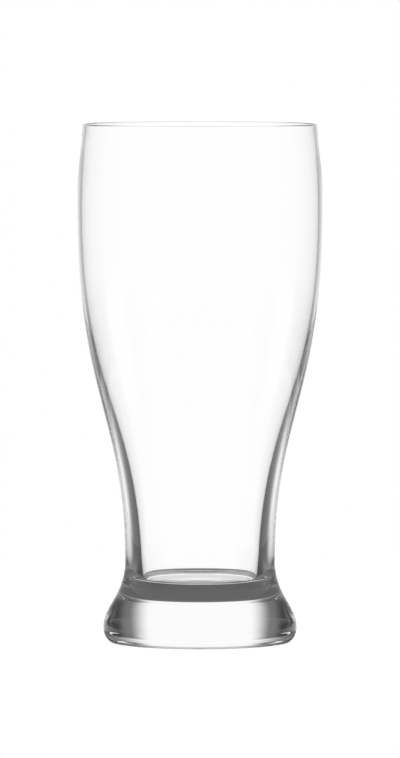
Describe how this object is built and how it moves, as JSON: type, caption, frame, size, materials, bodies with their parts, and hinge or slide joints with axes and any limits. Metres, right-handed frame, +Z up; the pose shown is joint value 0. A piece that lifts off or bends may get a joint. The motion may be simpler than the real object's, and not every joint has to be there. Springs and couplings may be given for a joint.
{
  "type": "beer glass",
  "caption": "Tall footed beer glass with a blown bowl that narrows to a neck, fused to a solid flared foot.",
  "frame": {"origin": "centre of the table plane under the foot", "axes": "+Z up along the axis of the glass, +X and +Y level; the glass is round, so the picture's view is along +Y"},
  "size_m": [0.0852, 0.0852, 0.18],
  "materials": {
    "clear_glass": "fire-polished, clear and colourless"
  },
  "bodies": {
    "root": {"bowl": "clear_glass", "foot": "clear_glass"}
  },
  "joints": []
}
